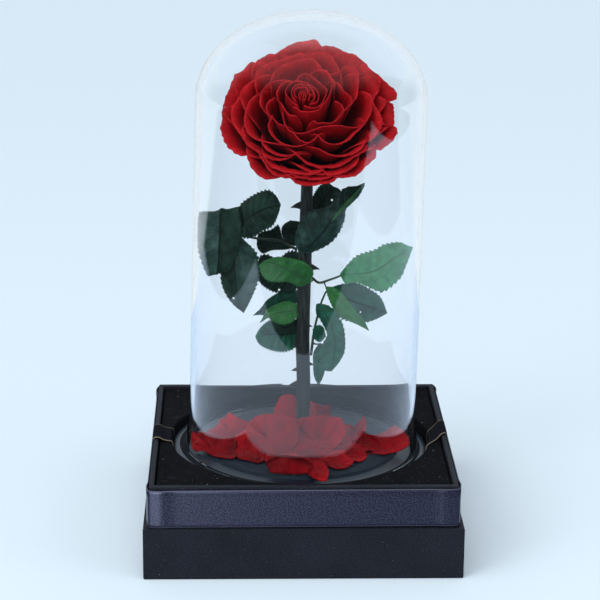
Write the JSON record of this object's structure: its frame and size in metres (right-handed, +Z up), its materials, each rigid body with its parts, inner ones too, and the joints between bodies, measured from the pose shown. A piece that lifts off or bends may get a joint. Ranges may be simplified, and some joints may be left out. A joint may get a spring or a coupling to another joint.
{
  "type": "preserved rose in glass dome",
  "caption": "Preserved rose with leaves and fallen petals under a clear glass dome, seated in the felt-lined top of a square black gift box with a satin band.",
  "frame": {"origin": "middle of the gift box's underside, on the surface it stands on", "axes": "+Z up along the dome, +X to the right and -Y to the front, square to the gift box"},
  "size_m": [0.18, 0.18, 0.3053],
  "materials": {
    "board": "black textured paper over rigid board",
    "felt": "black felt over foam",
    "satin": "dark navy grey satin ribbon",
    "woven_ribbon": "dark satin ribbon with pale woven edges",
    "base_disc": "satin black lacquer",
    "dome_glass": "clear, polished",
    "bark": "dark green-grey preserved stem",
    "leaf_stalk": "thin dark green stalks",
    "dark_leaf": "dark green preserved leaf, slightly waxy",
    "bright_leaf": "bright green preserved leaf, slightly waxy",
    "rose_petal": "velvety deep red petal",
    "fallen_petal": "deep red loose petal"
  },
  "bodies": {
    "root": {"base_tray": "board", "neck_frame": "board", "foam_insert": "felt", "ribbon_band": "satin", "lift_ribbon": "woven_ribbon", "dome_base": "base_disc", "glass_dome": "dome_glass", "stem": "bark", "rose_heart": "rose_petal", "petal_01": "rose_petal", "petal_02": "rose_petal", "petal_03": "rose_petal", "petal_04": "rose_petal", "petal_05": "rose_petal", "petal_06": "rose_petal", "petal_07": "rose_petal", "petal_08": "rose_petal", "petal_09": "rose_petal", "petal_10": "rose_petal", "petal_11": "rose_petal", "petal_12": "rose_petal", "petal_13": "rose_petal", "petal_14": "rose_petal", "petal_15": "rose_petal", "petal_16": "rose_petal", "petal_17": "rose_petal", "petal_18": "rose_petal", "petal_19": "rose_petal", "petal_20": "rose_petal", "petal_21": "rose_petal", "petal_22": "rose_petal", "petal_23": "rose_petal", "stalk_upper_left": "leaf_stalk", "stalk_upper_right": "leaf_stalk", "stalk_right": "leaf_stalk", "stalk_lower_right": "leaf_stalk", "leaflet_upper_left_tip": "dark_leaf", "leaflet_upper_left_inner": "dark_leaf", "leaflet_upper_left_hanging": "dark_leaf", "leaflet_upper_left_near": "dark_leaf", "leaflet_upper_left_rear": "dark_leaf", "leaflet_upper_right_front": "dark_leaf", "leaflet_upper_right_rear": "dark_leaf", "leaflet_left_rear": "dark_leaf", "leaflet_lower_left_upper": "dark_leaf", "leaflet_lower_left_under": "dark_leaf", "leaflet_right_rear": "dark_leaf", "leaflet_right_front": "dark_leaf", "leaflet_lower_right": "dark_leaf", "leaflet_centre_front": "bright_leaf", "leaflet_lower_left_bright": "bright_leaf", "leaflet_right_tip": "bright_leaf", "fallen_petal_1": "fallen_petal", "fallen_petal_2": "fallen_petal", "fallen_petal_3": "fallen_petal", "fallen_petal_4": "fallen_petal", "fallen_petal_5": "fallen_petal", "fallen_petal_6": "fallen_petal", "fallen_petal_7": "fallen_petal", "fallen_petal_8": "fallen_petal"}
  },
  "joints": []
}
